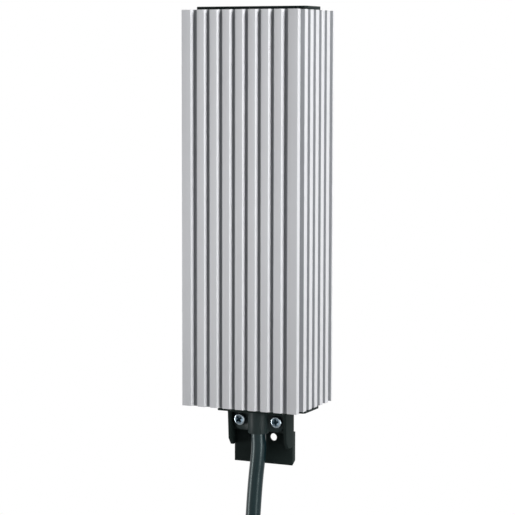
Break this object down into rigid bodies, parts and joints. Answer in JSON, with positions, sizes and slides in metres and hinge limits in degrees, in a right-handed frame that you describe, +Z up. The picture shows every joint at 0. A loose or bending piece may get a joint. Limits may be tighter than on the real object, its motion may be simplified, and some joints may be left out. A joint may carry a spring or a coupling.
{
  "type": "radiant heater",
  "caption": "Cabinet heater: a ribbed aluminium extrusion warmed by ceramic heating stones, with plastic end caps, a drilled mounting plate, a cable clamp and a tied supply cable.",
  "frame": {"origin": "midway between the two fixing holes, on the back of the mounting plate", "axes": "+Z up along the extrusion, +Y backwards into the surface that the plate is fixed to, +X to the right seen from the front"},
  "size_m": [0.07, 0.05, 0.483],
  "materials": {
    "anodised_aluminium": "satin anodised, with fine lines along the extrusion",
    "black_plastic": "fine matte moulded surface",
    "clamp_plastic": "matte moulded surface",
    "zinc_steel": "bright zinc plate with a blue cast",
    "cable_sheath": "smooth soft sheath, slightly glossy",
    "tie_plastic": "smooth",
    "brown_core": "smooth insulation",
    "blue_core": "smooth insulation",
    "green_yellow_core": "smooth insulation, green and yellow",
    "tinned_copper": "bright tin plate",
    "stone_ceramic": "dull fired ceramic with metal faces",
    "frame_plastic": "heat-resistant moulding, natural colour",
    "electrode_aluminium": "plain rolled sheet",
    "sleeve_film": "amber film"
  },
  "bodies": {
    "root": {"heatsink_profile": "anodised_aluminium", "top_cap": "black_plastic", "top_cap_screws": "zinc_steel", "bottom_cap": "black_plastic", "bottom_cap_screws": "zinc_steel", "cable_clamp": "clamp_plastic", "clamp_screws": "zinc_steel", "mains_cable": "cable_sheath", "cable_hank": "cable_sheath", "cable_tie": "tie_plastic", "live_end": "brown_core", "neutral_end": "blue_core", "earth_end": "green_yellow_core", "core_ferrules": "tinned_copper", "live_wire": "brown_core", "neutral_wire": "blue_core", "earth_wire": "green_yellow_core", "earth_terminal": "tinned_copper", "earth_screw": "zinc_steel", "ptc_stones": "stone_ceramic", "stone_frame": "frame_plastic", "front_electrode": "electrode_aluminium", "back_electrode": "electrode_aluminium", "insulating_sleeve": "sleeve_film", "pressure_bar": "electrode_aluminium"}
  },
  "joints": []
}
